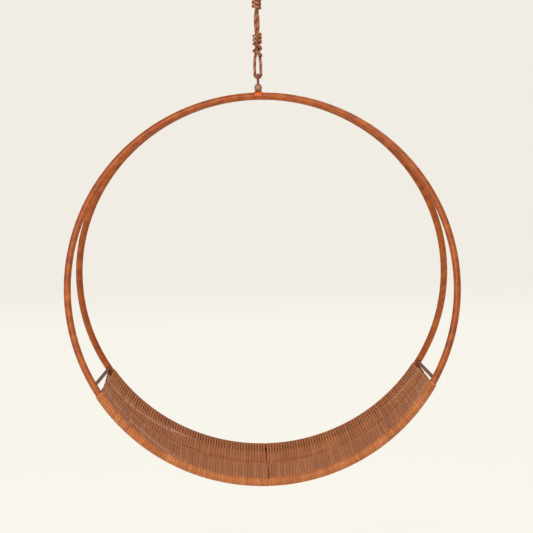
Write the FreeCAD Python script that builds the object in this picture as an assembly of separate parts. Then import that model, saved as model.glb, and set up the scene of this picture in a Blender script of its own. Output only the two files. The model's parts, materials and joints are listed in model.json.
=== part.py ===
"""Rope swing chair: two tilted hoops with a corded seat, hung by a doubled rope from a ceiling swivel.

The origin is the centre of the ceiling plate's upper face. X runs to the sitter's side, Y to the
rear of the chair and Z up. All lengths are in millimetres.
"""
import FreeCAD, Part
import math
import os

Vector = FreeCAD.Vector
ALONG_Y = Vector(0, 1, 0)
ALONG_Z = Vector(0, 0, 1)

# Fits shared by the whole chair
running_clearance = 0.05
seat_clearance = 0.05
cut_overrun = 2.0

# Hoops and the cross bars between them
hoop_outer_diameter = 1200.0
tube_diameter = 21.3
tube_wall = 2.0
hoop_top_gap = 0.7
seat_depth = 530.0
bar_angle_deg = 59.7
bar_diameter = 11.0

# Flat seat cord, wound in figures of eight round both hoops. The left and the right half of the
# winding share one strand below the seam.
cord_width = 3.8
cord_thickness = 1.8
cord_clearance = 0.3
loops_per_winding = 22
windings_per_half = 3
bar_gap = 1.0
left_front_gap = 18.0
seam_rear_gap = 4.5
seam_front_gap = 3.5
seam_offset = 4.0
cord_tail = 20.0
stop_knot_diameter = 8.0
stop_knot_length = 9.0
stop_knot_rounding = 2.5

# Saddle and lug welded on top of the hoops
saddle_width = 24.0
saddle_thickness = 2.5
lug_thickness = 8.0
lug_width = 20.0
lug_rise = 25.5

# Shackle between lug and rope
shackle_bar_diameter = 8.0
shackle_inside_width = 18.0
shackle_reach = 40.5
shackle_ear_diameter = 23.0
shackle_pin_diameter = 10.0
pin_head_diameter = 15.0
pin_head_height = 3.5
pin_head_rounding = 1.2
shackle_nut_size = 16.0
shackle_nut_height = 6.0
pin_thread_end = 2.0

# Hanging rope and the two knots that bind its legs
rope_diameter = 10.0
rope_clearance = 0.3
rope_span = 333.0
rope_end_gap = 0.6
lower_straight = 28.0
upper_straight = 60.0
knot_cord_diameter = 8.5
lower_knot_height = 76.0
lower_knot_first_rise = 18.0
upper_knot_height = 205.0
knot_pitch = 11.6
knot_turns = 3
knot_clearance = 0.5
knot_leg_offset = 5.45
splice_height = 221.0

# Ceiling plate, bracket and pivot
plate_length = 100.0
plate_width = 70.0
plate_thickness = 5.0
plate_corner_radius = 10.0
screw_hole_diameter = 9.0
screw_spacing_x = 76.0
screw_spacing_y = 46.0
bracket_thickness = 5.0
bracket_width = 36.0
bracket_side_gap = 1.0
bracket_headroom = 4.0
pivot_bolt_diameter = 10.0
bolt_head_size = 17.0
bolt_head_height = 6.5
bolt_end = 3.0
pivot_nut_height = 8.0
washer_diameter = 20.0
washer_thickness = 2.0

# Swivel stirrup, its bearing and the eye that the rope hangs on
stirrup_width = 30.0
stirrup_depth = 24.0
bush_wall = 2.0
bush_seat_wall = 6.0
stirrup_floor = 9.0
window_width = 22.0
window_headroom = 3.0
bearing_diameter = 20.0
bearing_height = 5.0
bearing_gap = 0.1
swivel_stem_diameter = 12.0
swivel_nut_size = 18.0
swivel_nut_height = 10.0
stem_end = 3.0
eye_bar_diameter = 10.0
eye_inside_diameter = 26.0
eye_drop = 1.5

# Places that follow from the sizes above
tube_radius = tube_diameter / 2
hoop_radius = (hoop_outer_diameter - tube_diameter) / 2
hoop_top_offset = tube_radius + hoop_top_gap / 2
hoop_tilt = math.asin((seat_depth / 2 - hoop_top_offset) / (2 * hoop_radius))
bar_radius = bar_diameter / 2
bar_angle = math.radians(bar_angle_deg)
loops_per_half = loops_per_winding * windings_per_half
rope_radius = rope_diameter / 2
lower_bend = shackle_bar_diameter / 2 + rope_clearance + rope_radius
upper_bend = eye_bar_diameter / 2 + rope_clearance + rope_radius
pivot_bush_radius = pivot_bolt_diameter / 2 + running_clearance + bush_wall
head_radius = stirrup_width / 2
pivot_z = -(plate_thickness + bracket_thickness + bracket_headroom + head_radius)
window_top_z = pivot_z - pivot_bush_radius - bush_seat_wall
window_height = bearing_height + bearing_gap + swivel_nut_height + stem_end + window_headroom
window_floor_z = window_top_z - window_height
stirrup_bottom_z = window_floor_z - stirrup_floor
bearing_top_z = window_floor_z + bearing_height
nut_top_z = bearing_top_z + bearing_gap + swivel_nut_height
eye_ring_radius = (eye_inside_diameter + eye_bar_diameter) / 2
eye_centre_z = stirrup_bottom_z - eye_drop - eye_ring_radius - eye_bar_diameter / 2
upper_axis_z = eye_centre_z - eye_ring_radius
lower_axis_z = upper_axis_z - rope_span
pin_z = lower_axis_z - shackle_reach
hoop_top_z = pin_z - lug_rise
shackle_leg_offset = (shackle_inside_width + shackle_bar_diameter) / 2

# Route of one leg of the rope between its two bends, as heights above the shackle's crown.
# The other leg is the same route turned by half a turn about the chair's upright axis.
leg_route = [
    (8.2, 2.8, 42.0),
    (4.6, 5.3, 54.0),
    (1.0, 5.8, 65.0),
    (0.0, 5.45, 76.0),
    (0.0, 5.45, 134.0),
    (-2.73, 4.72, 146.0),
    (-4.72, 2.73, 157.0),
    (-5.45, 0.0, 168.0),
    (-4.72, -2.73, 179.0),
    (-2.73, -4.72, 190.0),
    (0.0, -5.45, 202.0),
    (0.0, -5.45, 250.0),
]
arc_share = 0.45


def export(node, shape):
    """Write one node's solid or group of solids."""
    os.makedirs("parts", exist_ok=True)
    shape.exportStep("parts/" + node + ".step")


def cylinder_y(radius, start_y, end_y, z):
    """Cylinder along Y at the given height."""
    return Part.makeCylinder(radius, end_y - start_y, Vector(0, start_y, z), ALONG_Y)


def hexagon_prism(size_across_flats, height, base, axis):
    """Hexagonal nut or bolt head standing on its base point along an axis."""
    corner_radius = size_across_flats / math.sqrt(3)
    corners = []
    for number in range(7):
        turn = math.radians(60 * number)
        corners.append(Vector(corner_radius * math.cos(turn), corner_radius * math.sin(turn), 0))
    prism = Part.Face(Part.makePolygon(corners)).extrude(Vector(0, 0, height))
    prism.Placement = FreeCAD.Placement(base, FreeCAD.Rotation(ALONG_Z, axis))
    return prism


def biarc(start, start_direction, end, end_direction):
    """Two tangent arcs from one directed point to another."""
    gap = end - start
    both = start_direction + end_direction
    spread = 2 * (1 - start_direction.dot(end_direction))
    lean = gap.dot(both)
    reach = (math.sqrt(lean * lean + spread * gap.dot(gap)) - lean) / spread
    first_corner = start + start_direction * reach
    second_corner = end - end_direction * reach
    middle = (first_corner + second_corner) / 2
    return [corner_arc(start, first_corner, middle), corner_arc(middle, second_corner, end)]


def corner_arc(start, corner, end):
    """Arc from start to end that is tangent to both lines through the corner."""
    turn = (corner - start).getAngle(end - corner)
    chord_middle = (start + end) / 2
    inward_share = math.tan(turn / 4) / math.sin(turn / 2)
    return Part.Arc(start, corner + (chord_middle - corner) * inward_share, end).toShape()


def line(start, end):
    return Part.LineSegment(start, end).toShape()


def direction(run):
    start, end = run
    return (end - start).normalize()


def wound_edges(runs):
    """Straight runs, each joined to the next by a biarc."""
    edges = [line(*runs[0])]
    for before, after in zip(runs, runs[1:]):
        edges += biarc(before[1], direction(before), after[0], direction(after))
        edges.append(line(*after))
    return edges


def rounded_edges(points, radii):
    """Straight runs with the largest tangent arc that each corner's runs allow."""
    edges = []
    last = points[0]
    for before, corner, after in zip(points, points[1:], points[2:]):
        reach = arc_share * min(corner.distanceToPoint(before), corner.distanceToPoint(after))
        arc_start = corner + (before - corner).normalize() * reach
        arc_end = corner + (after - corner).normalize() * reach
        turn = (corner - before).getAngle(after - corner)
        radii.append(reach / math.tan(turn / 2))
        edges.append(line(last, arc_start))
        edges.append(corner_arc(arc_start, corner, arc_end))
        last = arc_end
    edges.append(line(last, points[-1]))
    return edges


def tube_along(edges, diameter, name):
    """Round tube along a tangent path, with its volume set against section times length."""
    path = Part.Wire(edges)
    first = edges[0]
    section = Part.makeCircle(diameter / 2, first.Vertexes[0].Point, first.tangentAt(first.FirstParameter))
    tube = path.makePipeShell([Part.Wire([section])], True, False)
    solid = Part.Solid(tube.Shells[0])
    expected = math.pi * diameter ** 2 / 4 * path.Length
    print(name, "length", round(path.Length, 1), "volume share", round(solid.Volume / expected, 4))
    return solid


def least_gap(edges, diameter, edges_per_turn, name):
    """Least gap between neighbouring turns of a wound tube, measured on points of its path."""
    points_per_edge = 12
    turns = []
    for first in range(0, len(edges) - edges_per_turn, edges_per_turn):
        points = []
        for edge in edges[first:first + edges_per_turn]:
            points += edge.discretize(points_per_edge)
        turns.append(points)
    least = math.inf
    for turn, following in zip(turns, turns[1:]):
        near = points_per_edge * 2
        for place, point in enumerate(turn):
            for other in following[max(0, place - near):place + near]:
                if other.distanceToPoint(turn[-1]) > diameter:
                    least = min(least, point.distanceToPoint(other))
    print(name, "least gap", round(least - diameter, 2))


def hoop_point(side, angle):
    """Centre of a hoop's tube at an angle from straight down. Side is -1 in front, 1 at the rear."""
    drop = hoop_radius * (1 + math.cos(angle))
    x = hoop_radius * math.sin(angle)
    y = side * (hoop_top_offset + drop * math.sin(hoop_tilt))
    return Vector(x, y, hoop_top_z - drop * math.cos(hoop_tilt))


def make_hoop(side, radius):
    """Ring of the given tube radius, tilted to its side about the top."""
    centre = hoop_point(side, math.pi / 2)
    centre.x = 0
    normal = Vector(0, math.cos(hoop_tilt), side * math.sin(hoop_tilt))
    return Part.makeTorus(hoop_radius, radius, centre, normal)


def make_cross_bar(side_x):
    """Round bar from the front hoop to the rear hoop, cut to the tubes it is welded to."""
    front = hoop_point(-1, side_x * bar_angle)
    rear = hoop_point(1, side_x * bar_angle)
    bar = Part.makeCylinder(bar_radius, front.distanceToPoint(rear), front, rear - front)
    for side in (-1, 1):
        bar = bar.cut(make_hoop(side, tube_radius + seat_clearance))
    return max(bar.Solids, key=lambda solid: solid.Volume)


def seat_surface_normal(angle):
    """Direction square to both the hoop's tube and the strands, towards the sitter."""
    return Vector(-math.sin(angle) * math.cos(hoop_tilt), 0, math.cos(angle)).normalize()


def turn_angles(side_x, side):
    """Angles of one half's successive turns on a hoop, counted at both hoops, from the seam outwards."""
    seam_gap = seam_front_gap if side < 0 else seam_rear_gap
    end_gap = left_front_gap if side_x < 0 and side < 0 else bar_gap
    seam_place = side_x * seam_offset + (seam_gap + cord_width) / 2
    last_place = hoop_radius * bar_angle - bar_radius - cord_width / 2 - end_gap
    # The right half has one more turn, so that both ends of the cord arrive under the rear hoop.
    turns = 2 * loops_per_half + (1 if side_x > 0 else 0)
    # The first turn of a half is on one hoop only. On the other hoop the second turn is next to the seam.
    seam_share = 0.5
    step = (last_place - seam_place) / (turns - 1 - seam_share)
    return [side_x * (seam_place + (number - seam_share) * step) / hoop_radius for number in range(turns)]


def cord_point(side_x, side, turn, over):
    """Middle of the cord where it meets or leaves a hoop, above or below its tube."""
    angles = {hoop: turn_angles(side_x, hoop)[turn] for hoop in (-1, 1)}
    middle_angle = (angles[-1] + angles[1]) / 2
    # Towards the bars the tube crosses the cord at a slant, so the cord's edges need more room.
    lean = math.asin(abs(math.sin(middle_angle)) * math.sin(hoop_tilt))
    room = cord_clearance + cord_width / 2 * math.tan(lean) + tube_radius * (1 / math.cos(lean) - 1)
    stand_off = tube_radius + room + cord_thickness / 2
    offset = stand_off if over else -stand_off
    return hoop_point(side, angles[side]) + seat_surface_normal(middle_angle) * offset


def half_winding_runs(side_x):
    """Strands of one half, each from the top of one hoop's tube to the underside of the other's."""
    # The right half starts at the rear hoop and the left half at the front hoop.
    side = side_x
    runs = []
    for turn in range(len(turn_angles(side_x, side)) - 1):
        runs.append((cord_point(side_x, side, turn, True), cord_point(side_x, -side, turn + 1, False)))
        side = -side
    start, end = runs[-1]
    runs[-1] = (start, end + direction(runs[-1]) * cord_tail)
    return runs


def seam_run():
    """Lower strand that joins the left half's first turn in front to the right half's at the rear."""
    return cord_point(-1, -1, 0, False), cord_point(1, 1, 0, False)


def split_runs(runs):
    """Runs of each winding of a half, cut at the middle of a strand."""
    runs_per_winding = 2 * loops_per_winding
    windings = []
    for number in range(windings_per_half):
        first = number * runs_per_winding
        part = runs[first:first + runs_per_winding + 1]
        part[0] = ((part[0][0] + part[0][1]) / 2, part[0][1])
        if number < windings_per_half - 1:
            part[-1] = (part[-1][0], (part[-1][0] + part[-1][1]) / 2)
        windings.append(part)
    return windings


def least_strand_gap(runs, name):
    """Least gap between neighbouring strands of a winding, measured on points of their middle lines."""
    points_per_strand = 25
    strands = [line(*run).discretize(points_per_strand) for run in runs]
    least = math.inf
    for strand, following in zip(strands, strands[1:]):
        for point in strand:
            for other in following:
                least = min(least, point.distanceToPoint(other))
    print(name, "least gap", round(least - cord_width, 2))


def flat_cord_along(edges, name):
    """Flat cord with round edges along a tangent path, lying flat on the seat where it starts."""
    path = Part.Wire(edges)
    start = edges[0].Vertexes[0].Point
    along = edges[0].tangentAt(edges[0].FirstParameter)
    upward = seat_surface_normal(math.asin(start.x / hoop_radius))
    across = along.cross(upward).normalize()
    upward = across.cross(along) * (cord_thickness / 2)
    reach = across * (cord_width / 2)
    edge = across * ((cord_width - cord_thickness) / 2)
    corners = [start + edge + upward, start - edge + upward, start - edge - upward, start + edge - upward]
    section = Part.Wire([
        line(corners[0], corners[1]),
        Part.Arc(corners[1], start - reach, corners[2]).toShape(),
        line(corners[2], corners[3]),
        Part.Arc(corners[3], start + reach, corners[0]).toShape(),
    ])
    tube = path.makePipeShell([section], True, False)
    solid = Part.Solid(tube.Shells[0])
    expected = Part.Face(section).Area * path.Length
    print(name, "length", round(path.Length, 1), "volume share", round(solid.Volume / expected, 4))
    return solid


def stop_knot(end, outward):
    """Rounded stop knot on the cord's end."""
    knot = Part.makeCylinder(stop_knot_diameter / 2, stop_knot_length, end, outward)
    return knot.makeFillet(stop_knot_rounding, knot.Edges)


def make_saddle():
    """Bent strap over the upper halves of both tubes."""
    outer = saddle_profile(tube_radius + saddle_thickness)
    inner = saddle_profile(tube_radius + seat_clearance)
    return outer.cut(inner)


def saddle_profile(radius):
    """Upper half of a long round-ended bar over both tubes, as wide as the saddle."""
    left = -hoop_top_offset
    right = hoop_top_offset
    base = Vector(-saddle_width / 2, 0, hoop_top_z)
    top_left = base + Vector(0, left, radius)
    top_right = base + Vector(0, right, radius)
    outer_left = base + Vector(0, left - radius, 0)
    outer_right = base + Vector(0, right + radius, 0)
    diagonal = radius / math.sqrt(2)
    edges = [
        Part.Arc(outer_left, base + Vector(0, left - diagonal, diagonal), top_left).toShape(),
        line(top_left, top_right),
        Part.Arc(top_right, base + Vector(0, right + diagonal, diagonal), outer_right).toShape(),
        line(outer_right, outer_left),
    ]
    return Part.Face(Part.Wire(edges)).extrude(Vector(saddle_width, 0, 0))


def make_lug():
    """Upright plate with a rounded top and the bore for the shackle's pin."""
    foot_z = hoop_top_z + tube_radius + saddle_thickness
    plate = Part.makeBox(
        lug_width, lug_thickness, pin_z - foot_z, Vector(-lug_width / 2, -lug_thickness / 2, foot_z)
    )
    crown = cylinder_y(lug_width / 2, -lug_thickness / 2, lug_thickness / 2, pin_z)
    bore_radius = shackle_pin_diameter / 2 + running_clearance
    bore = cylinder_y(bore_radius, -lug_thickness, lug_thickness, pin_z)
    return plate.fuse(crown).cut(bore).removeSplitter()


def make_shackle_bow():
    """Bent bar with a bored ear on each end."""
    bend_z = lower_axis_z - shackle_leg_offset
    front_foot = Vector(0, -shackle_leg_offset, pin_z)
    front_bend = Vector(0, -shackle_leg_offset, bend_z)
    rear_bend = Vector(0, shackle_leg_offset, bend_z)
    rear_foot = Vector(0, shackle_leg_offset, pin_z)
    edges = [
        line(front_foot, front_bend),
        Part.Arc(front_bend, Vector(0, 0, lower_axis_z), rear_bend).toShape(),
        line(rear_bend, rear_foot),
    ]
    bow = tube_along(edges, shackle_bar_diameter, "shackle bow")
    half_width = shackle_inside_width / 2
    ear_end = half_width + shackle_bar_diameter
    for start_y, end_y in ((-ear_end, -half_width), (half_width, ear_end)):
        bow = bow.fuse(cylinder_y(shackle_ear_diameter / 2, start_y, end_y, pin_z))
    bore_end = ear_end + cut_overrun
    bore = cylinder_y(shackle_pin_diameter / 2 + seat_clearance, -bore_end, bore_end, pin_z)
    return bow.cut(bore).removeSplitter()


def make_shackle_pin():
    """Pin through both ears, with a low round head in front and a threaded end behind."""
    ear_end = shackle_inside_width / 2 + shackle_bar_diameter
    pin_end = ear_end + shackle_nut_height + pin_thread_end
    shank = cylinder_y(shackle_pin_diameter / 2, -ear_end, pin_end, pin_z)
    head = cylinder_y(pin_head_diameter / 2, -ear_end - pin_head_height, -ear_end, pin_z)
    rim = min(head.Edges, key=lambda edge: edge.CenterOfMass.y)
    head = head.makeFillet(pin_head_rounding, [rim])
    return head.fuse(shank).removeSplitter()


def make_nut(size, height, bore_diameter, base, axis):
    """Hexagonal nut with a plain bore in place of its thread."""
    nut = hexagon_prism(size, height, base, axis)
    bore_radius = bore_diameter / 2 + seat_clearance
    return nut.cut(Part.makeCylinder(bore_radius, height, base, axis))


def route_points():
    """One leg of the rope from its lower bend to its upper bend."""
    points = [Vector(lower_bend, 0, 0), Vector(lower_bend, 0, lower_straight)]
    points += [Vector(*place) for place in leg_route]
    points.append(Vector(0, -upper_bend, rope_span - upper_straight))
    points.append(Vector(0, -upper_bend, rope_span))
    return [point + Vector(0, 0, lower_axis_z) for point in points]


def turned(point):
    """The same place on the rope's other leg."""
    return Vector(-point.x, -point.y, point.z)


def make_rope():
    """Doubled rope: its ends meet inside the upper knot, in the leg that the route describes."""
    leg = route_points()
    splice = lower_axis_z + splice_height
    below = [point for point in leg if point.z < splice]
    above = [point for point in leg if point.z > splice]
    start = Vector(0, -knot_leg_offset, splice - rope_end_gap / 2)
    end = Vector(0, -knot_leg_offset, splice + rope_end_gap / 2)
    radii = []
    edges = rounded_edges([start] + below[::-1], radii)
    lower_bottom = Vector(0, 0, lower_axis_z - lower_bend)
    edges.append(Part.Arc(leg[0], lower_bottom, turned(leg[0])).toShape())
    edges += rounded_edges([turned(point) for point in leg], radii)
    upper_top = Vector(0, 0, upper_axis_z + upper_bend)
    edges.append(Part.Arc(turned(leg[-1]), upper_top, leg[-1]).toShape())
    edges += rounded_edges(above[::-1] + [end], radii)
    print("rope radii", [round(radius) for radius in radii])
    return tube_along(edges, rope_diameter, "hanger rope")


def make_knot(height, first_rise, name):
    """Thinner rope wound round both legs, from its lower end at the rear right to its upper end in front."""
    stand_off = rope_radius + knot_clearance + knot_cord_diameter / 2
    half_turns = round(2 * knot_turns)
    run_rise_share = 1 / 6
    runs = []
    start_z = lower_axis_z + height
    for number in range(half_turns + 1):
        sign = 1 if number % 2 == 0 else -1
        end_z = start_z + knot_pitch * run_rise_share
        x = sign * stand_off
        start = Vector(x, sign * knot_leg_offset, start_z)
        runs.append((start, Vector(x, -sign * knot_leg_offset, end_z)))
        start_z += first_rise if number == 0 else knot_pitch / 2
    edges = wound_edges(runs)
    least_gap(edges, knot_cord_diameter, 6, name)
    return tube_along(edges, knot_cord_diameter, name)


def make_ceiling_plate():
    """Plate with rounded corners and four screw holes."""
    corner = Vector(-plate_length / 2, -plate_width / 2, -plate_thickness)
    plate = Part.makeBox(plate_length, plate_width, plate_thickness, corner)
    upright = [edge for edge in plate.Edges if abs(edge.tangentAt(edge.FirstParameter).z) == 1]
    plate = plate.makeFillet(plate_corner_radius, upright)
    for x in (-screw_spacing_x / 2, screw_spacing_x / 2):
        for y in (-screw_spacing_y / 2, screw_spacing_y / 2):
            foot = Vector(x, y, -plate_thickness - cut_overrun)
            depth = plate_thickness + 2 * cut_overrun
            plate = plate.cut(Part.makeCylinder(screw_hole_diameter / 2, depth, foot))
    return plate


ear_inner_y = stirrup_depth / 2 + bracket_side_gap
ear_outer_y = ear_inner_y + bracket_thickness


def make_bracket():
    """Upturned channel whose two ears carry the pivot bolt."""
    web = Part.makeBox(
        bracket_width, 2 * ear_outer_y, bracket_thickness,
        Vector(-bracket_width / 2, -ear_outer_y, -plate_thickness - bracket_thickness)
    )
    bracket = web
    ear_top_z = -plate_thickness
    for start_y in (-ear_outer_y, ear_inner_y):
        corner = Vector(-bracket_width / 2, start_y, pivot_z)
        ear = Part.makeBox(bracket_width, bracket_thickness, ear_top_z - pivot_z, corner)
        tip = cylinder_y(bracket_width / 2, start_y, start_y + bracket_thickness, pivot_z)
        bracket = bracket.fuse(ear).fuse(tip)
    bore_end = ear_outer_y + cut_overrun
    bore = cylinder_y(pivot_bolt_diameter / 2 + seat_clearance, -bore_end, bore_end, pivot_z)
    return bracket.cut(bore).removeSplitter()


def make_pivot_bolt():
    """Bolt across the bracket, its head in front."""
    head_y = -ear_outer_y - washer_thickness
    end_y = ear_outer_y + washer_thickness + pivot_nut_height + bolt_end
    shank = cylinder_y(pivot_bolt_diameter / 2, head_y, end_y, pivot_z)
    base = Vector(0, head_y - bolt_head_height, pivot_z)
    return shank.fuse(hexagon_prism(bolt_head_size, bolt_head_height, base, ALONG_Y)).removeSplitter()


def make_washers():
    """One washer under the bolt's head and one under its nut."""
    washers = []
    for start_y in (-ear_outer_y - washer_thickness, ear_outer_y):
        end_y = start_y + washer_thickness
        washer = cylinder_y(washer_diameter / 2, start_y, end_y, pivot_z)
        bore = cylinder_y(pivot_bolt_diameter / 2 + seat_clearance, start_y, end_y, pivot_z)
        washers.append(washer.cut(bore))
    return Part.makeCompound(washers)


def make_stirrup():
    """Frame that swings on the pivot bolt and holds the swivel's bearing in its window."""
    half_depth = stirrup_depth / 2
    body = Part.makeBox(
        stirrup_width, stirrup_depth, pivot_z - stirrup_bottom_z,
        Vector(-stirrup_width / 2, -half_depth, stirrup_bottom_z)
    )
    body = body.fuse(cylinder_y(head_radius, -half_depth, half_depth, pivot_z))
    window_depth = stirrup_depth + 2 * cut_overrun
    window_corner = Vector(-window_width / 2, -half_depth - cut_overrun, window_floor_z)
    body = body.cut(Part.makeBox(window_width, window_depth, window_height, window_corner))
    bush_seat = pivot_bush_radius + seat_clearance
    body = body.cut(cylinder_y(bush_seat, -half_depth - cut_overrun, half_depth + cut_overrun, pivot_z))
    stem_foot = Vector(0, 0, stirrup_bottom_z - cut_overrun)
    stem_bore = swivel_stem_diameter / 2 + running_clearance
    stem_depth = stirrup_floor + 2 * cut_overrun
    return body.cut(Part.makeCylinder(stem_bore, stem_depth, stem_foot)).removeSplitter()


def make_bush():
    """Plain bush between the pivot bolt and the stirrup."""
    bush = cylinder_y(pivot_bush_radius, -stirrup_depth / 2, stirrup_depth / 2, pivot_z)
    bore_radius = pivot_bolt_diameter / 2 + running_clearance
    return bush.cut(cylinder_y(bore_radius, -stirrup_depth / 2, stirrup_depth / 2, pivot_z))


def make_bearing():
    """Thrust washer on the stirrup's floor."""
    foot = Vector(0, 0, window_floor_z)
    bearing = Part.makeCylinder(bearing_diameter / 2, bearing_height, foot)
    bore_radius = swivel_stem_diameter / 2 + running_clearance
    return bearing.cut(Part.makeCylinder(bore_radius, bearing_height, foot))


def make_eye():
    """Ring in the upright plane along X, on the stem that turns in the stirrup."""
    ring = Part.makeTorus(eye_ring_radius, eye_bar_diameter / 2, Vector(0, 0, eye_centre_z), ALONG_Y)
    stem_foot_z = eye_centre_z + eye_ring_radius
    stem_top_z = nut_top_z + stem_end
    stem = Part.makeCylinder(swivel_stem_diameter / 2, stem_top_z - stem_foot_z, Vector(0, 0, stem_foot_z))
    return ring.fuse(stem).removeSplitter()


def build_ceiling_fitting():
    export("ceiling_plate", make_ceiling_plate())
    export("pivot_bracket", make_bracket())
    export("pivot_bolt", make_pivot_bolt())
    export("pivot_washers", make_washers())
    nut_base = Vector(0, ear_outer_y + washer_thickness, pivot_z)
    nut = make_nut(bolt_head_size, pivot_nut_height, pivot_bolt_diameter, nut_base, ALONG_Y)
    export("pivot_nut", nut)
    export("swivel_stirrup", make_stirrup())
    export("pivot_bush", make_bush())
    export("thrust_bearing", make_bearing())
    export("swivel_eye", make_eye())
    nut_base = Vector(0, 0, bearing_top_z + bearing_gap)
    nut = make_nut(swivel_nut_size, swivel_nut_height, swivel_stem_diameter, nut_base, ALONG_Z)
    export("swivel_nut", nut)


def build_hanger():
    export("hanger_rope", make_rope())
    export("lower_knot", make_knot(lower_knot_height, lower_knot_first_rise, "lower knot"))
    export("upper_knot", make_knot(upper_knot_height, knot_pitch / 2, "upper knot"))
    export("shackle_bow", make_shackle_bow())
    export("shackle_pin", make_shackle_pin())
    nut_base = Vector(0, shackle_inside_width / 2 + shackle_bar_diameter, pin_z)
    nut = make_nut(shackle_nut_size, shackle_nut_height, shackle_pin_diameter, nut_base, ALONG_Y)
    export("shackle_nut", nut)


def build_frame():
    export("hanging_lug", make_lug())
    export("top_saddle", make_saddle())
    for node, side in (("front_hoop", -1), ("rear_hoop", 1)):
        export(node, make_hoop(side, tube_radius).cut(make_hoop(side, tube_radius - tube_wall)))
    for node, side_x in (("left_cross_bar", -1), ("right_cross_bar", 1)):
        export(node, make_cross_bar(side_x))


def build_seat():
    """Windings numbered from the left bar to the right bar, and the stop knots on the cord's ends."""
    front, rear = seam_run()
    knots = []
    for side_x, seam in ((-1, (rear, front)), (1, (front, rear))):
        runs = [seam] + half_winding_runs(side_x)
        knots.append(stop_knot(runs[-1][1], direction(runs[-1])))
        for number, part in enumerate(split_runs(runs)):
            position = windings_per_half - number if side_x < 0 else windings_per_half + number + 1
            node = "seat_winding_" + str(position)
            least_strand_gap(part, node)
            export(node, flat_cord_along(wound_edges(part), node))
    export("cord_knots", Part.makeCompound(knots))


build_ceiling_fitting()
build_hanger()
build_frame()
build_seat()
print("hoop tilt", round(math.degrees(hoop_tilt), 2), "hoop top", round(hoop_top_z, 2))
print("pivot", pivot_z, "eye bar", upper_axis_z, "shackle crown", lower_axis_z, "pin", pin_z)
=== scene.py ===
"""Looks of the rope swing chair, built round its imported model. Lengths are in metres."""
import json
import math

import bpy
import numpy as np
from mathutils import Matrix, Vector


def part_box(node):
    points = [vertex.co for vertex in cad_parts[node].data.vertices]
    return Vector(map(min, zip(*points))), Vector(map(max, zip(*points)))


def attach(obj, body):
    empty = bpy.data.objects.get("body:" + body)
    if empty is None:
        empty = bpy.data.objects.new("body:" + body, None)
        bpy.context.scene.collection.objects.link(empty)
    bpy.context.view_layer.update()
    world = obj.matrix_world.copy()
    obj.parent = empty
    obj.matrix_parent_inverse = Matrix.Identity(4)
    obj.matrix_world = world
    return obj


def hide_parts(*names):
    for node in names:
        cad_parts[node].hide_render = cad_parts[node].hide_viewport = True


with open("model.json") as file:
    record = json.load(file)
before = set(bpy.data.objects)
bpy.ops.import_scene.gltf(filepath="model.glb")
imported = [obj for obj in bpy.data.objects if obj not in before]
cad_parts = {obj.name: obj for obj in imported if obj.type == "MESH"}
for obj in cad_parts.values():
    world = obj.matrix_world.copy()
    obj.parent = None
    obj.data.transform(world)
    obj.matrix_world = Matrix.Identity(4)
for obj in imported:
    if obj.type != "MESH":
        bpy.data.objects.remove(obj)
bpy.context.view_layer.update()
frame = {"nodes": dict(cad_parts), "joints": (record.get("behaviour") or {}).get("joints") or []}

nodes = frame["nodes"]
random = np.random.default_rng(7)


def joint_height(name):
    """Height of a joint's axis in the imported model."""
    joint = next(joint for joint in frame["joints"] if joint["name"] == name)
    return joint["pos_m"][2]


# Camera, fitted to the outlines of both hoops in the square picture
picture_side = 533
focal_length_pixels = 1297.6
sensor_width_mm = 36.0
camera_place = Vector((-0.0165, -4.05, -0.8133))
camera_pan_deg = -0.438
camera_tilt_deg = -3.252
camera_roll_deg = -1.184

# Hoops and the cross bars between them
hoop_radius = 0.58935
tube_radius = 0.01065
hoop_top_offset = 0.011
seat_depth = 0.53
lug_rise = 0.0255
bar_angle = math.radians(59.7)
bar_radius = 0.0055
hoop_tilt = math.asin((seat_depth / 2 - hoop_top_offset) / (2 * hoop_radius))
hoop_top_z = joint_height("chair_rock") - lug_rise

# Flat seat cord
cord_width = 0.0038
loops_per_winding = 22
windings_per_half = 3
bar_gap = 0.001
left_front_gap = 0.018
seam_rear_gap = 0.0045
seam_front_gap = 0.0035
seam_share = 0.5
seam_offset = 0.004
cord_tail = 0.02
braid_thickness = 0.0016
# Widths of the braid along a run from the top of one tube, at -1, to the underside of the other, at 1.
# The keys are the hoops that runs start on, -1 the front one and 1 the rear one. The braid is narrow in
# the middle, where strands squeeze past each other, and next to the top of the rear tube.
run_shares = [-1, -0.96, -0.62, -0.48, -0.14, -0.06, 0, 0.04, 0.09, 0.5, 0.6, 0.9, 0.97, 1]
wrap_width = 0.0089
under_widths = [0.0047, 0.0051, 0.0095, 0.0095, 0.0088, 0.0088, 0.0095, wrap_width]
braid_widths = {
    -1: [wrap_width, 0.0084, 0.0083, 0.0088, 0.009, 0.0052] + under_widths,
    1: [wrap_width, 0.0068, 0.007, 0.0088, 0.009, 0.0052] + under_widths,
}
# The widest that a strand spreads at these angles from the seam
spread_angles = np.radians([8, 30])
widest_spreads = [0.0095, 0.0082]
braid_clearance = 0.0001
plait_length = 0.0087
plait_sway_share = 0.1
place_scatter = 0.0001
most_scatter = 0.0002
usual_slack = 0.0005
# Half of the braid's outline, as shares of half its width and half its thickness
braid_outline_shares = [
    (1, 0), (0.86, 0.7), (0.62, 1), (0.31, 0.62), (0, 1), (-0.31, 0.62), (-0.62, 1), (-0.86, 0.7)
]
points_in_bend = 17
points_in_tail = 6
stop_knot_length = 0.009
stop_knot_turns = 2.6
stop_knot_radius = 0.0025
stop_knot_strand = 0.0016
stop_knot_core = 0.0014
stop_knot_core_share = 1.5
points_in_stop_knot = 90
points_in_knot_core = 30
stop_knot_tone = 0.5

# Weld beads
weld_radius = 0.0014
weld_step = 0.0006
weld_pass = 0.0026
weld_ripple_share = 0.16
saddle_weld_turn = math.radians(125)
weld_sides = 10
points_in_bar_weld = 60
points_in_saddle_weld = 20

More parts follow.
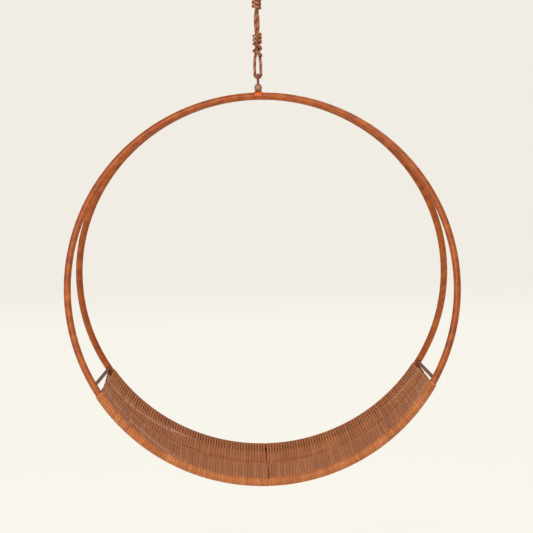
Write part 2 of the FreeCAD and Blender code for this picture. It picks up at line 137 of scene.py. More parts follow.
# Hanging rope
rope_radius = 0.005
rope_span = 0.333
lower_bend = 0.0093
upper_bend = 0.0103
lower_straight = 0.028
upper_straight = 0.06
splice_height = 0.221
rope_end_gap = 0.0006
knot_cord_radius = 0.0056
knot_leg_offset = 0.00545
knot_stand_off = 0.00975
knot_pitch = 0.0116
points_in_half_turn = 4
lower_knot_height = 0.057
upper_knot_height = 0.205
# Rises of the knots' half turns: the lower one starts with two steep ones in front
lower_knot_rises = [0.018, 0.006, 0.015] + 5 * [knot_pitch / 2]
upper_knot_rises = 6 * [knot_pitch / 2]
strands_in_rope = 3
yarns_in_strand = 5
rope_lay = 0.028
rope_step = 0.0015
yarn_lay = 0.011
yarn_groove_share = 0.9
spline_steps = 16
upper_axis_z = joint_height("fore_aft_swing")
lower_axis_z = upper_axis_z - rope_span

# Route of one leg of the rope between its two bends: x, y and the height above the lower bend's axis.
# The other leg is the same route turned by half a turn about the upright axis.
leg_route = [
    (0.009, 0.0006, 0.04),
    (0.008, 0.002, 0.05),
    (0.006, 0.0036, 0.06),
    (0.0042, 0.0047, 0.072),
    (0.002, 0.0053, 0.088),
    (0.0, 0.0052, 0.106),
    (-0.0022, 0.0042, 0.127),
    (-0.004, 0.0024, 0.144),
    (-0.0047, 0.0, 0.161),
    (-0.004, -0.0024, 0.178),
    (-0.0022, -0.0042, 0.195),
    (0.0, -0.0052, 0.212),
    (0.0, -0.00545, 0.25),
]


def make_camera():
    pan = math.radians(camera_pan_deg)
    tilt = math.radians(camera_tilt_deg)
    roll = math.radians(camera_roll_deg)
    forward = Vector((-math.sin(pan) * math.cos(tilt), math.cos(pan) * math.cos(tilt), math.sin(tilt)))
    level_right = Vector((math.cos(pan), math.sin(pan), 0))
    level_up = level_right.cross(forward)
    right = math.cos(roll) * level_right + math.sin(roll) * level_up
    up = math.cos(roll) * level_up - math.sin(roll) * level_right
    data = bpy.data.cameras.new("camera")
    data.sensor_width = sensor_width_mm
    data.lens = focal_length_pixels / picture_side * sensor_width_mm
    camera = bpy.data.objects.new("camera", data)
    turn = Matrix((right, up, -forward)).transposed()
    camera.matrix_world = Matrix.Translation(camera_place) @ turn.to_4x4()
    bpy.context.scene.collection.objects.link(camera)
    bpy.context.scene.camera = camera


# Lines and tubes


def unit(vectors):
    return vectors / np.linalg.norm(vectors, axis=-1, keepdims=True)


def lengths_along(line):
    steps = np.linalg.norm(np.diff(line, axis=0), axis=1)
    return np.concatenate([[0], np.cumsum(steps)])


def evenly_spaced(line, step):
    """The line with points about a step apart."""
    along = lengths_along(line)
    places = np.linspace(0, along[-1], int(along[-1] / step) + 1)
    return np.stack([np.interp(places, along, line[:, axis]) for axis in range(3)], axis=1)


def spline_points(points):
    """Points along the NURBS spline that has these control points."""
    curve = bpy.data.curves.new("route", "CURVE")
    curve.dimensions = "3D"
    spline = curve.splines.new("NURBS")
    spline.points.add(len(points) - 1)
    for control, point in zip(spline.points, points):
        control.co = (*point, 1)
    spline.order_u = 3
    spline.use_endpoint_u = True
    spline.resolution_u = spline_steps
    holder = bpy.data.objects.new("route", curve)
    mesh = bpy.data.meshes.new_from_object(holder)
    line = np.array([vertex.co for vertex in mesh.vertices])
    bpy.data.meshes.remove(mesh)
    bpy.data.objects.remove(holder)
    bpy.data.curves.remove(curve)
    return line


def carried_frame(line):
    """Two directions square to a line, carried along it without twist."""
    along = unit(np.gradient(line, axis=0))
    # No line starts along this direction.
    slant = (0.31, 0.95, 0.07)
    normal = np.cross(along[0], slant)
    normals = []
    for direction in along:
        normal = unit(normal - normal.dot(direction) * direction)
        normals.append(normal)
    normals = np.array(normals)
    return normals, np.cross(along, normals)


class TubeMesh:
    """Closed tubes, each a row of rings, collected into one mesh."""

    def __init__(self):
        self.points = []
        self.corners = []
        self.sizes = []
        self.maps = []
        self.tones = []
        self.count = 0

    def add(self, rings, along, tone):
        """Rings of one tube, the length along it in lays and its tone at each ring."""
        number, sides = rings.shape[:2]
        index = self.count + np.arange(number * sides).reshape(number, sides)
        following = np.roll(index, -1, axis=1)
        quads = np.stack([index[:-1], following[:-1], following[1:], index[1:]], axis=-1)
        around = np.arange(sides) / sides
        low = np.repeat(along[:-1, None], sides, axis=1)
        high = np.repeat(along[1:, None], sides, axis=1)
        left = np.broadcast_to(around, low.shape)
        right = left + 1 / sides
        maps = np.stack([left, low, right, low, right, high, left, high], axis=-1)
        self.points.append(rings.reshape(-1, 3))
        self.corners += [quads.ravel(), index[0, ::-1], index[-1]]
        self.sizes += [np.full((number - 1) * sides, 4), [sides], [sides]]
        self.maps += [maps.ravel(), np.zeros(4 * sides)]
        self.tones.append(np.repeat(tone, sides))
        self.count += number * sides

    def make(self, name, material):
        sizes = np.concatenate(self.sizes)
        corners = np.concatenate(self.corners)
        mesh = bpy.data.meshes.new(name)
        mesh.vertices.add(self.count)
        mesh.vertices.foreach_set("co", np.concatenate(self.points).ravel())
        mesh.loops.add(len(corners))
        mesh.loops.foreach_set("vertex_index", corners.astype(np.int32))
        mesh.polygons.add(len(sizes))
        starts = np.concatenate([[0], np.cumsum(sizes)[:-1]])
        mesh.polygons.foreach_set("loop_start", starts.astype(np.int32))
        mesh.update(calc_edges=True)
        mesh.polygons.foreach_set("use_smooth", np.ones(len(sizes), bool))
        mesh.uv_layers.new(name="lay").uv.foreach_set("vector", np.concatenate(self.maps))
        tone = mesh.attributes.new("tone", "FLOAT", "POINT")
        tone.data.foreach_set("value", np.concatenate(self.tones))
        mesh.materials.append(material)
        made = bpy.data.objects.new(name, mesh)
        bpy.context.scene.collection.objects.link(made)
        return made


def rings_along(line, directions, radii, turns):
    """Rings whose columns have the given radii, turned by an angle at each point of the line."""
    normals, others = directions
    sides = len(radii)
    angles = np.arange(sides) * math.tau / sides + turns[:, None]
    across = np.cos(angles)[..., None] * normals[:, None] + np.sin(angles)[..., None] * others[:, None]
    return line[:, None] + np.asarray(radii)[:, None] * across


# Hanging rope and its knots


def add_laid_rope(tubes, line, radius):
    """Three strands pressed together round a line, each with the ridges of its yarns."""
    strand_radius = radius / 2
    strand_offset = radius / 2
    line = evenly_spaced(line, rope_step)
    along = lengths_along(line)
    normals, others = carried_frame(line)
    radii = [strand_radius, strand_radius * yarn_groove_share] * yarns_in_strand
    for number in range(strands_in_rope):
        angle = (along / rope_lay * math.tau + number * math.tau / strands_in_rope)[:, None]
        strand = line + strand_offset * (np.cos(angle) * normals + np.sin(angle) * others)
        rings = rings_along(strand, carried_frame(strand), radii, -along / yarn_lay * math.tau)
        tubes.add(rings, along / yarn_lay, np.full(len(line), number / (strands_in_rope - 1)))
    return line


def bend_points(axis_z, radius, outward, upright):
    """Control points of a half circle about an axis: from one side, past its end, to the other side."""
    near = radius * math.tan(math.pi / 8)
    places = [(radius, near), (radius, -near), (near, -radius)]
    places += [(-near, -radius), (-radius, -near), (-radius, near)]
    axis = Vector((0, 0, axis_z))
    return [axis + across * outward + rise * upright for across, rise in places]


def rope_route():
    """Control points of the whole rope, from the splice down one leg and back over the other."""
    rise = Vector((0, 0, lower_axis_z))
    leg = [Vector((lower_bend, 0, lower_straight))]
    leg += [Vector(point) for point in leg_route]
    leg.append(Vector((0, -upper_bend, rope_span - upper_straight)))
    leg = [point + rise for point in leg]
    other_leg = [Vector((-point.x, -point.y, point.z)) for point in leg]
    splice_z = lower_axis_z + splice_height
    start = Vector((0, -knot_leg_offset, splice_z - rope_end_gap / 2))
    end = Vector((0, -knot_leg_offset, splice_z + rope_end_gap / 2))
    below = [point for point in leg if point.z < splice_z]
    above = [point for point in leg if point.z > splice_z]
    lower = bend_points(lower_axis_z, lower_bend, Vector((1, 0, 0)), Vector((0, 0, 1)))
    upper = bend_points(upper_axis_z, upper_bend, Vector((0, 1, 0)), Vector((0, 0, -1)))
    return [start] + below[::-1] + lower + other_leg + upper + above[::-1] + [end]


def knot_route(height, rises):
    """Control points of the rope wound round both legs, as half circles joined by straight runs."""
    reach = knot_stand_off / math.cos(math.pi / 2 / points_in_half_turn)
    z = lower_axis_z + height
    points = [Vector((knot_stand_off, knot_leg_offset, z))]
    for half_turn, rise in enumerate(rises):
        side = 1 if half_turn % 2 == 0 else -1
        for step in range(points_in_half_turn):
            angle = math.pi * (step + 0.5) / points_in_half_turn
            x = side * reach * math.cos(angle)
            y = -side * (knot_leg_offset + reach * math.sin(angle))
            points.append(Vector((x, y, z + rise * (step + 1) / (points_in_half_turn + 1))))
        z += rise
    points.append(Vector((knot_stand_off, 0, z)))
    return points


def make_hanger(material):
    tubes = TubeMesh()
    line = add_laid_rope(tubes, spline_points(rope_route()), rope_radius)
    rope = tubes.make("rope_strands", material)
    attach(rope, "hanger")
    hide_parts("hanger_rope")
    for name, node, height, rises in (
        ("lower_knot_strands", "lower_knot", lower_knot_height, lower_knot_rises),
        ("upper_knot_strands", "upper_knot", upper_knot_height, upper_knot_rises),
    ):
        tubes = TubeMesh()
        add_laid_rope(tubes, spline_points(knot_route(height, rises)), knot_cord_radius)
        knot = tubes.make(name, material)
        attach(knot, "hanger")
        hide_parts(node)


# Seat


def hoop_point(angle, side):
    """Middle of the front hoop's tube (-1) or the rear one's (1) at an angle from straight down."""
    drop = hoop_radius * (1 + np.cos(angle))
    x = hoop_radius * np.sin(angle)
    y = side * (hoop_top_offset + drop * math.sin(hoop_tilt))
    return np.stack([x, y, hoop_top_z - drop * math.cos(hoop_tilt)], axis=-1)


def seat_normal(angle):
    """Direction square to both the tube and the strands, towards the sitter."""
    x = -np.sin(angle) * math.cos(hoop_tilt)
    return unit(np.stack([x, np.zeros_like(x), np.cos(angle)], axis=-1))


def turns_in_half(side_x):
    """The right half has one more turn, so that both ends of the cord arrive under the rear hoop."""
    return 2 * loops_per_winding * windings_per_half + (1 if side_x > 0 else 0)


def strand_angles(side_x, side):
    """Angles at which one half's successive strands meet a hoop, from the seam outwards."""
    seam_gap = seam_front_gap if side < 0 else seam_rear_gap
    end_gap = left_front_gap if side_x < 0 and side < 0 else bar_gap
    seam_place = side_x * seam_offset + (seam_gap + cord_width) / 2
    last_place = hoop_radius * bar_angle - bar_radius - wrap_width / 2 - end_gap
    turns = turns_in_half(side_x)
    step = (last_place - seam_place) / (turns - 1 - seam_share)
    places = seam_place + (np.arange(turns + 1) - 1) * step
    # The first strand crosses the seam from below, between the two halves.
    places[0] += seam_share * step
    places += random.normal(0, place_scatter, len(places)).clip(-most_scatter, most_scatter)
    return side_x * places / hoop_radius


class Turns:
    """Half turns of one half's cord round the hoops, one after another from the seam outwards."""

    def __init__(self, side_x):
        self.angles = {side: strand_angles(side_x, side) for side in (-1, 1)}
        # The right half starts at the rear hoop and the left half at the front hoop.
        self.sides = side_x * (-1) ** np.arange(turns_in_half(side_x))

    def bend(self, number):
        """Points of a half turn from under a tube to its top, and the directions of the cord's face."""
        side = self.sides[number]
        turn = np.linspace(-math.pi / 2, math.pi / 2, points_in_bend)
        share = turn / math.pi + 0.5
        front, rear = (
            angles[number] * (1 - share) + angles[number + 1] * share
            for angles in (self.angles[-1], self.angles[1])
        )
        middle = (front + rear) / 2
        centres = hoop_point(front if side < 0 else rear, side)
        # Towards the bars the tube crosses the cord at a slant, so the cord's edges need more room.
        lean = np.arcsin(np.abs(np.sin(middle)) * math.sin(hoop_tilt))
        room = braid_clearance + wrap_width / 2 * np.tan(lean) + tube_radius * (1 / np.cos(lean) - 1)
        stand_off = tube_radius + room + braid_thickness / 2
        past_tube = np.array((0, side, 0))
        outward = np.cos(turn)[:, None] * past_tube + np.sin(turn)[:, None] * seat_normal(middle)
        return centres + stand_off[:, None] * outward, side * outward


def straight_run(start, end, start_face, end_face, slack):
    """Points between two turns, without their ends and sagging by the slack, with the cord's face and
    the share of the run at each of them."""
    share = np.linspace(0, 1, int(np.linalg.norm(end - start) / plait_length * 2) + 1)[1:-1, None]
    face = start_face + share * (end_face - start_face)
    sag = np.array((0, 0, 4 * slack)) * share * (1 - share)
    return start + share * (end - start) - sag, face, share[:, 0]


def half_winding(turns, seam_start):
    """Line of one half's cord from the middle of the seam's strand outwards, with the directions of its
    face, its width and the number of the run that each point is on. Turns count as part of the run
    before them."""
    last = len(turns.sides) - 1
    slacks = np.abs(random.normal(0, usual_slack, last + 1))
    points = [np.array([seam_start])]
    faces = [turns.bend(0)[1][:1]]
    widths = [np.full(1, under_widths[0])]
    runs = [np.zeros(1)]
    for number in range(last + 1):
        bend, bend_face = turns.bend(number)
        start = points[-1][-1]
        if number == last:
            # The cord's end passes under the tube.
            tail = np.linspace(0, cord_tail, points_in_tail)[:, None]
            bend = bend[0] + tail * unit(bend[0] - start)
            bend_face = bend_face[:1].repeat(len(tail), axis=0)
        run, face, share = straight_run(start, bend[0], faces[-1][-1], bend_face[0], slacks[number])
        points += [run, bend]
        faces += [face, bend_face]
        # The first run starts in the middle of the seam.
        run_share = share if number == 0 else 2 * share - 1
        run_widths = np.interp(run_share, run_shares, braid_widths[-turns.sides[number]])
        widest = np.interp(abs(turns.angles[1][number]), spread_angles, widest_spreads)
        widths += [run_widths.clip(0, widest), np.full(len(bend), wrap_width)]
        runs += [np.full(len(run), number), np.full(len(bend), number)]
    return tuple(np.concatenate(values) for values in (points, faces, widths, runs))


def braid_rings(line, face, width):
    """Rings of a flat braid, whose plaits sway from side to side along it."""
    along = unit(np.gradient(line, axis=0))
    across = unit(np.cross(along, face))
    upward = np.cross(across, along)
    half_outline = np.array(braid_outline_shares)
    outline = np.concatenate([half_outline, -half_outline])
    sway = plait_sway_share * (-1) ** np.arange(len(line))
    ridges = np.abs(outline[:, 1]) == 1
    sideways = width[:, None] / 2 * (outline[:, 0] + sway[:, None] * ridges)
    rings = line[:, None] + sideways[..., None] * across[:, None]
    return rings + braid_thickness / 2 * outline[:, 1, None] * upward[:, None]


def make_half_seat(side_x, turns, seam_middle, material):
    """Three windings of one half, each from the middle of a strand to the middle of another."""
    line, face, width, runs = half_winding(turns, seam_middle)
    rings = braid_rings(line, face, width)
    along = lengths_along(line) / plait_length
    tone = random.random(len(turns.sides))[runs.astype(int)]
    cuts = [0]
    for number in range(1, windings_per_half):
        cut_run = np.flatnonzero(runs == 2 * loops_per_winding * number)
        cuts.append(cut_run[np.argmin(np.abs(line[cut_run, 1]))])
    cuts.append(len(line) - 1)
    for number, (first, last) in enumerate(zip(cuts, cuts[1:])):
        position = windings_per_half - number if side_x < 0 else windings_per_half + number + 1
        part = slice(first, last + 1)
        tubes = TubeMesh()
        tubes.add(rings[part], along[part], tone[part])
        winding = tubes.make(f"seat_cord_{position}", material)
        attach(winding, "chair")
        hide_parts(f"seat_winding_{position}")
    return line[-1], line[-1] - line[-2]


def add_stop_knot(tubes, end, outward):
    """Cord end wrapped round itself into a small barrel."""
    outward = unit(outward)
    turns = np.linspace(0, stop_knot_turns * math.tau, points_in_stop_knot)
    # Neither end of the cord points along this direction.
    slant = (1.0, 0.2, 0.1)
    side = unit(np.cross(outward, slant))
    other = np.cross(outward, side)
    reach = np.linspace(stop_knot_strand, stop_knot_length - stop_knot_strand, len(turns))
    wrap = end + reach[:, None] * outward
    wrap = wrap + stop_knot_radius * (np.cos(turns)[:, None] * side + np.sin(turns)[:, None] * other)
    core_reach = np.linspace(0, stop_knot_length * stop_knot_core_share, points_in_knot_core)
    core = end + core_reach[:, None] * outward
    for line, radius in ((wrap, stop_knot_strand), (core, stop_knot_core)):
        along = lengths_along(line)
        radii = [radius, radius * yarn_groove_share] * yarns_in_strand
        rings = rings_along(line, carried_frame(line), radii, along / plait_length * math.tau)
        tubes.add(rings, along / plait_length, np.full(len(line), stop_knot_tone))


def make_seat(material):
    left, right = Turns(-1), Turns(1)
    seam_middle = (left.bend(0)[0][0] + right.bend(0)[0][0]) / 2
    knots = TubeMesh()
    for side_x, turns in ((-1, left), (1, right)):
        end, outward = make_half_seat(side_x, turns, seam_middle, material)
        add_stop_knot(knots, end, outward)
    knots = knots.make("cord_end_knots", material)
    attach(knots, "chair")
    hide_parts("cord_knots")


# Welds


def add_weld(tubes, line):
    """Bead with the ripples of its passes along a line."""
    line = evenly_spaced(line, weld_step)
    along = lengths_along(line)
    ripple = weld_radius * (1 + weld_ripple_share * np.cos(along / weld_pass * math.tau))
    directions = carried_frame(line)
    rings = rings_along(np.zeros_like(line), directions, np.ones(weld_sides), np.zeros(len(line)))
    tubes.add(line[:, None] + ripple[:, None, None] * rings, along / weld_pass, np.zeros(len(line)))


def bar_weld(side_x, side):
    """Line round a cross bar's end, where it meets the tube of a hoop."""
    angle = side_x * bar_angle
    tangent = unit(np.array([
        math.cos(angle),
        -side * math.sin(angle) * math.sin(hoop_tilt),
        math.sin(angle) * math.cos(hoop_tilt),
    ]))
    turns = np.linspace(0, math.tau, points_in_bar_weld)
    circle = np.stack([np.cos(turns), np.zeros_like(turns), np.sin(turns)], axis=1)
    ring = (bar_radius + weld_radius / 2) * circle
    # Each point slides along the bar until it lies on the tube's skin.
    inward = np.array((0, -side, 0))
    ring_square = ring - ring.dot(tangent)[:, None] * tangent
    inward_square = inward - inward.dot(tangent) * tangent
    a = inward_square.dot(inward_square)
    b = ring_square.dot(inward_square)
    c = (ring_square ** 2).sum(axis=1) - tube_radius ** 2
    reach = (-b + np.sqrt(b * b - a * c)) / a
    return hoop_point(angle, side) + ring + reach[:, None] * inward


def lug_weld():
    """Line round the foot of the lug, on the saddle."""
    low, high = (np.array(corner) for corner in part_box("hanging_lug"))
    corners = [(low[0], low[1]), (high[0], low[1]), (high[0], high[1]), (low[0], high[1])]
    return np.array([(x, y, low[2]) for x, y in corners + corners[:1]])


def saddle_weld(side_x, side):
    """Line along one edge of the saddle, over the upper half of one tube."""
    low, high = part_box("top_saddle")
    turns = np.linspace(0, saddle_weld_turn, points_in_saddle_weld)
    y = side * (hoop_top_offset + tube_radius * np.cos(turns))
    z = hoop_top_z + tube_radius * np.sin(turns)
    return np.stack([np.full_like(y, low[0] if side_x < 0 else high[0]), y, z], axis=1)


def make_welds(material):
    tubes = TubeMesh()
    for side_x in (-1, 1):
        for side in (-1, 1):
            add_weld(tubes, bar_weld(side_x, side))
            add_weld(tubes, saddle_weld(side_x, side))
    add_weld(tubes, lug_weld())
    welds = tubes.make("weld_beads", material)
    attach(welds, "chair")


# Materials. Noise scales are in cells to a metre.

cloud_scale = 42.0
cloud_shares = (0.3, 0.7)
gloss_scale = 85.0
coating_rough_spread = (-0.08, 0.1)
peel_scale = 900.0
peel_depth = 0.0004
worn_edge_radius = 0.0009
worn_edge_samples = 6
# Likeness of the rounded and the sharp surface's directions where wear starts and where it is full
worn_edge_likeness = (0.995, 0.85)
chip_scale = 320.0
chip_shares = (0.42, 0.6)
stain_scale = 160.0
metal_rough_spread = (-0.1, 0.15)
scratch_scale = 2200.0
scratch_depth = 0.0002
fibre_cloud_scale = 26.0
fibre_cloud_shares = (0.35, 0.65)
fibre_stretch = 1.6
fibre_share = 0.7
fibre_tone_spread = 0.45
fibre_depth = 0.0003


def new_material(name, **sockets):
    """Material with one principled shader and these constants on its sockets."""
    material = bpy.data.materials.new(name)
    material.use_nodes = True
    shader = material.node_tree.nodes["Principled BSDF"]
    for socket, value in sockets.items():
        shader.inputs[socket.replace("_", " ").title().replace("Ior", "IOR")].default_value = value
    return material, material.node_tree, shader


def add_node(tree, kind, settings=None, **inputs):
    """Node with its settings, and its inputs set to constants or linked to sockets."""
    node = tree.nodes.new("ShaderNode" + kind)
    for name, value in (settings or {}).items():
        setattr(node, name, value)
    for name, value in inputs.items():
        socket = node.inputs[name.replace("_", " ")]
        if isinstance(value, bpy.types.NodeSocket):
            tree.links.new(value, socket)
        else:
            socket.default_value = value
    return node


def add_ramp(tree, share, colours):
    """Even colour ramp over a share from 0 to 1."""
    ramp = tree.nodes.new("ShaderNodeValToRGB")
    stops = ramp.color_ramp.elements
    while len(stops) < len(colours):
        stops.new(0.5)
    for number, (stop, colour) in enumerate(zip(stops, colours)):
        stop.position = number / (len(colours) - 1)
        stop.color = (*colour, 1)
    tree.links.new(share, ramp.inputs["Fac"])
    return ramp.outputs["Color"]


def linear(red, green, blue):
    """Linear colour of a display colour from 0 to 255."""
    return tuple(
        value / 255 / 12.92 if value / 255 <= 0.04045 else ((value / 255 + 0.055) / 1.055) ** 2.4
        for value in (red, green, blue)
    )


def object_noise(tree, scale, detail):
    place = tree.nodes.new("ShaderNodeTexCoord").outputs["Object"]
    return add_node(tree, "TexNoise", Vector=place, Scale=scale, Detail=detail).outputs["Fac"]


def edge_wear(tree):
    """Share of wear: full on sharp edges, broken up by noise."""
    rounded = add_node(tree, "Bevel", {"samples": worn_edge_samples}, Radius=worn_edge_radius)
    sharp = tree.nodes.new("ShaderNodeNewGeometry").outputs["Normal"]
    likeness = tree.nodes.new("ShaderNodeVectorMath")
    likeness.operation = "DOT_PRODUCT"
    tree.links.new(rounded.outputs["Normal"], likeness.inputs[0])
    tree.links.new(sharp, likeness.inputs[1])
    start, full = worn_edge_likeness
    edge = add_node(tree, "MapRange", Value=likeness.outputs["Value"], From_Min=start, From_Max=full)
    noise = object_noise(tree, chip_scale, detail=4.0)
    chips = add_node(tree, "MapRange", Value=noise, From_Min=chip_shares[0], From_Max=chip_shares[1])
    wear = add_node(tree, "Math", {"operation": "MULTIPLY"})
    tree.links.new(edge.outputs["Result"], wear.inputs[0])
    tree.links.new(chips.outputs["Result"], wear.inputs[1])
    return wear.outputs["Value"]


rubbed_colour = linear(206, 142, 106)


def coating_material(name, tones, rough):
    """Coated steel with cloudy colour, a fine orange-peel skin, uneven gloss and rubbed edges."""
    material, tree, shader = new_material(
        name, coat_weight=0.1, coat_roughness=0.4, specular_ior_level=0.34
    )
    cloud = object_noise(tree, cloud_scale, detail=5.0)
    spread = add_node(tree, "MapRange", Value=cloud, From_Min=cloud_shares[0], From_Max=cloud_shares[1])
    colour = add_ramp(tree, spread.outputs["Result"], [linear(*tone) for tone in tones])
    mix = tree.nodes.new("ShaderNodeMix")
    mix.data_type = "RGBA"
    tree.links.new(edge_wear(tree), mix.inputs["Factor"])
    tree.links.new(colour, mix.inputs[6])
    mix.inputs[7].default_value = (*rubbed_colour, 1)
    tree.links.new(mix.outputs[2], shader.inputs["Base Color"])
    patches = object_noise(tree, gloss_scale, detail=3.0)
    least, most = (rough + change for change in coating_rough_spread)
    gloss = add_node(tree, "MapRange", Value=patches, To_Min=least, To_Max=most)
    tree.links.new(gloss.outputs["Result"], shader.inputs["Roughness"])
    peel = object_noise(tree, peel_scale, detail=2.0)
    bump = add_node(tree, "Bump", Height=peel, Strength=0.12, Distance=peel_depth)
    tree.links.new(bump.outputs["Normal"], shader.inputs["Normal"])
    return material


def metal_material(name, dark, light, rough):
    """Bare metal with fine scratches and a stained gloss."""
    material, tree, shader = new_material(name, metallic=1.0)
    stain = object_noise(tree, stain_scale, detail=6.0)
    tree.links.new(add_ramp(tree, stain, [dark, light]), shader.inputs["Base Color"])
    least, most = (rough + change for change in metal_rough_spread)
    gloss = add_node(tree, "MapRange", Value=stain, To_Min=least, To_Max=most)
    tree.links.new(gloss.outputs["Result"], shader.inputs["Roughness"])
    scratch = object_noise(tree, scratch_scale, detail=1.0)
    bump = add_node(tree, "Bump", Height=scratch, Strength=0.08, Distance=scratch_depth)
    tree.links.new(bump.outputs["Normal"], shader.inputs["Normal"])
    return material


def cord_material(name, tones, fibres_around, tone_share, gloss):
    """Twisted fibre: each strand has its own tone, with fibre streaks along it."""
    material, tree, shader = new_material(
        name, roughness=0.58, sheen_weight=0.03, sheen_roughness=0.5, specular_ior_level=gloss
    )
    lay = add_node(tree, "UVMap", {"uv_map": "lay"}).outputs["UV"]
    stretched = add_node(tree, "Mapping", Vector=lay, Scale=(fibres_around, fibre_stretch, 1.0))
    streaks = add_node(tree, "TexNoise", Vector=stretched.outputs["Vector"], Scale=1.0, Detail=3.0)
    fibre = streaks.outputs["Fac"]
    noise = object_noise(tree, fibre_cloud_scale, detail=3.0)
    least, most = fibre_cloud_shares
    cloud = add_node(tree, "MapRange", Value=noise, To_Min=least, To_Max=most)
    tone = add_node(tree, "Attribute", {"attribute_name": "tone"}).outputs["Fac"]
    mixed = add_node(tree, "Math", {"operation": "MULTIPLY_ADD"})
    tree.links.new(tone, mixed.inputs[0])
    mixed.inputs[1].default_value = tone_share
    tree.links.new(cloud.outputs["Result"], mixed.inputs[2])
    shaded = add_node(tree, "Math", {"operation": "MULTIPLY_ADD"})
    tree.links.new(fibre, shaded.inputs[0])
    shaded.inputs[1].default_value = fibre_share
    tree.links.new(mixed.outputs["Value"], shaded.inputs[2])
    usual = (1 + fibre_share + tone_share) / 2
    low, high = usual - fibre_tone_spread, usual + fibre_tone_spread
    spread = add_node(tree, "MapRange", Value=shaded.outputs["Value"], From_Min=low, From_Max=high)
    colour = add_ramp(tree, spread.outputs["Result"], [linear(*tone) for tone in tones])
    tree.links.new(colour, shader.inputs["Base Color"])
    bump = add_node(tree, "Bump", Height=fibre, Strength=0.5, Distance=fibre_depth)
    tree.links.new(bump.outputs["Normal"], shader.inputs["Normal"])
    return material


def dress_nodes(material, *names):
    """Give CAD nodes a material."""
    for name in names:
        slots = nodes[name].data.materials
        slots.clear()
        slots.append(material)


# Stage

upper_backdrop = linear(241, 237, 228)
far_backdrop = linear(248, 245, 236)
lower_backdrop = linear(249, 246, 237)
# Upward parts of the view's direction where the backdrop starts and stops lightening
backdrop_slopes = (-0.07, -0.105)
sky_colour = (1.0, 0.96, 0.88, 1)
sky_strength = 0.36
floor_z = -2.15
floor_radius = 9.0
floor_corners = 96
floor_shade_share = 0.1
floor_glow = 0.945
chair_middle = Vector((0.0, 0.0, -1.1))
key_place = Vector((-0.7, -3.6, 0.5))
fill_place = Vector((-3.2, -1.6, -0.7))
top_place = Vector((1.5, -0.3, 1.6))


def make_light(name, place, size, power, colour):
    """Round lamp that points at the middle of the chair."""
    data = bpy.data.lights.new(name, "AREA")
    data.shape = "DISK"
    data.size = size
    data.energy = power
    data.color = colour
    light = bpy.data.objects.new(name, data)
    light.location = place
    light.rotation_euler = (chair_middle - place).to_track_quat("-Z", "Y").to_euler()
    bpy.context.scene.collection.objects.link(light)


def make_world():
    """Pale backdrop that lightens towards the floor, and a softer sky for the light."""
    world = bpy.data.worlds.new("studio")
    bpy.context.scene.world = world
    world.use_nodes = True
    tree = world.node_tree
    tree.nodes.clear()
    direction = tree.nodes.new("ShaderNodeTexCoord").outputs["Generated"]
    height = add_node(tree, "SeparateXYZ", Vector=direction).outputs["Z"]
    start, end = backdrop_slopes
    lower = add_node(tree, "MapRange", Value=height, From_Min=start, From_Max=end).outputs["Result"]
    backdrop = add_node(tree, "Background", Color=add_ramp(tree, lower, [upper_backdrop, far_backdrop]))
    sky = add_node(tree, "Background", Color=sky_colour, Strength=sky_strength)
    seen = tree.nodes.new("ShaderNodeLightPath").outputs["Is Camera Ray"]
    mix = tree.nodes.new("ShaderNodeMixShader")
    output = tree.nodes.new("ShaderNodeOutputWorld")
    tree.links.new(seen, mix.inputs["Fac"])
    tree.links.new(sky.outputs["Background"], mix.inputs[1])
    tree.links.new(backdrop.outputs["Background"], mix.inputs[2])
    tree.links.new(mix.outputs["Shader"], output.inputs["Surface"])


def make_floor():
    """Pale round floor that takes a faint shadow."""
    turns = np.arange(floor_corners) * math.tau / floor_corners
    x = floor_radius * np.cos(turns)
    y = floor_radius * np.sin(turns)
    points = np.stack([x, y, np.full(floor_corners, floor_z)], axis=1)
    mesh = bpy.data.meshes.new("floor")
    mesh.from_pydata(points.tolist(), [], [list(range(floor_corners))])
    material, _, shader = new_material("pale_floor", roughness=0.9, specular_ior_level=0.0)
    shade = [floor_shade_share * value for value in lower_backdrop]
    shader.inputs["Base Color"].default_value = (*shade, 1)
    shader.inputs["Emission Color"].default_value = (*lower_backdrop, 1)
    shader.inputs["Emission Strength"].default_value = floor_glow
    mesh.materials.append(material)
    floor = bpy.data.objects.new("floor", mesh)
    bpy.context.scene.collection.objects.link(floor)


make_camera()

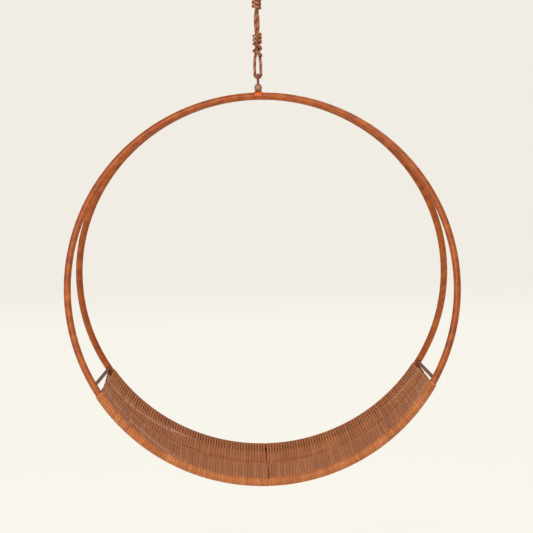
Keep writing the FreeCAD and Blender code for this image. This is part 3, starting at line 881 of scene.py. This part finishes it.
rope_fibre = cord_material(
    "rope_fibre", [(80, 40, 22), (148, 87, 54), (208, 150, 110)],
    fibres_around=9.0, tone_share=0.4, gloss=0.2
)
seat_fibre = cord_material(
    "seat_fibre", [(105, 51, 19), (180, 101, 45), (219, 149, 89)],
    fibres_around=14.0, tone_share=0.18, gloss=0.42
)
make_hanger(rope_fibre)
make_seat(seat_fibre)

tube_coating = coating_material("tube_coating", [(130, 56, 3), (157, 72, 5), (175, 89, 12)], 0.46)
lug_coating = coating_material("lug_coating", [(192, 78, 4), (214, 92, 6), (226, 110, 18)], 0.4)
bar_coating = coating_material("bar_coating", [(92, 50, 34), (120, 70, 50), (140, 90, 70)], 0.5)
weld_coating = coating_material("weld_coating", [(84, 22, 8), (112, 36, 12), (140, 56, 24)], 0.5)
fitting_coating = coating_material("fitting_coating", [(130, 60, 30), (168, 82, 44), (188, 100, 60)], 0.5)
bow_coating = coating_material("bow_coating", [(76, 36, 18), (104, 54, 30), (134, 78, 50)], 0.45)
pin_coating = coating_material("pin_coating", [(142, 78, 46), (172, 100, 64), (200, 130, 92)], 0.4)
make_welds(weld_coating)
zinc = metal_material("zinc", (0.19, 0.185, 0.18), (0.34, 0.33, 0.315), 0.46)
brass = metal_material("brass", (0.5, 0.32, 0.11), (0.72, 0.52, 0.24), 0.3)
dress_nodes(tube_coating, "front_hoop", "rear_hoop")
dress_nodes(bar_coating, "left_cross_bar", "right_cross_bar")
dress_nodes(lug_coating, "hanging_lug", "top_saddle")
dress_nodes(fitting_coating, "ceiling_plate", "pivot_bracket", "swivel_stirrup", "swivel_eye")
dress_nodes(bow_coating, "shackle_bow")
dress_nodes(pin_coating, "shackle_pin", "shackle_nut")
dress_nodes(zinc, "pivot_bolt", "pivot_washers", "pivot_nut", "swivel_nut")
dress_nodes(brass, "pivot_bush", "thrust_bearing")

make_world()
make_floor()
make_light("key", key_place, size=1.6, power=96.0, colour=(0.98, 0.99, 1.04))
make_light("fill", fill_place, size=2.0, power=15.0, colour=(1.0, 0.98, 0.96))
make_light("top", top_place, size=1.8, power=33.0, colour=(1.0, 0.94, 0.8))
bpy.context.scene.view_settings.view_transform = "Standard"
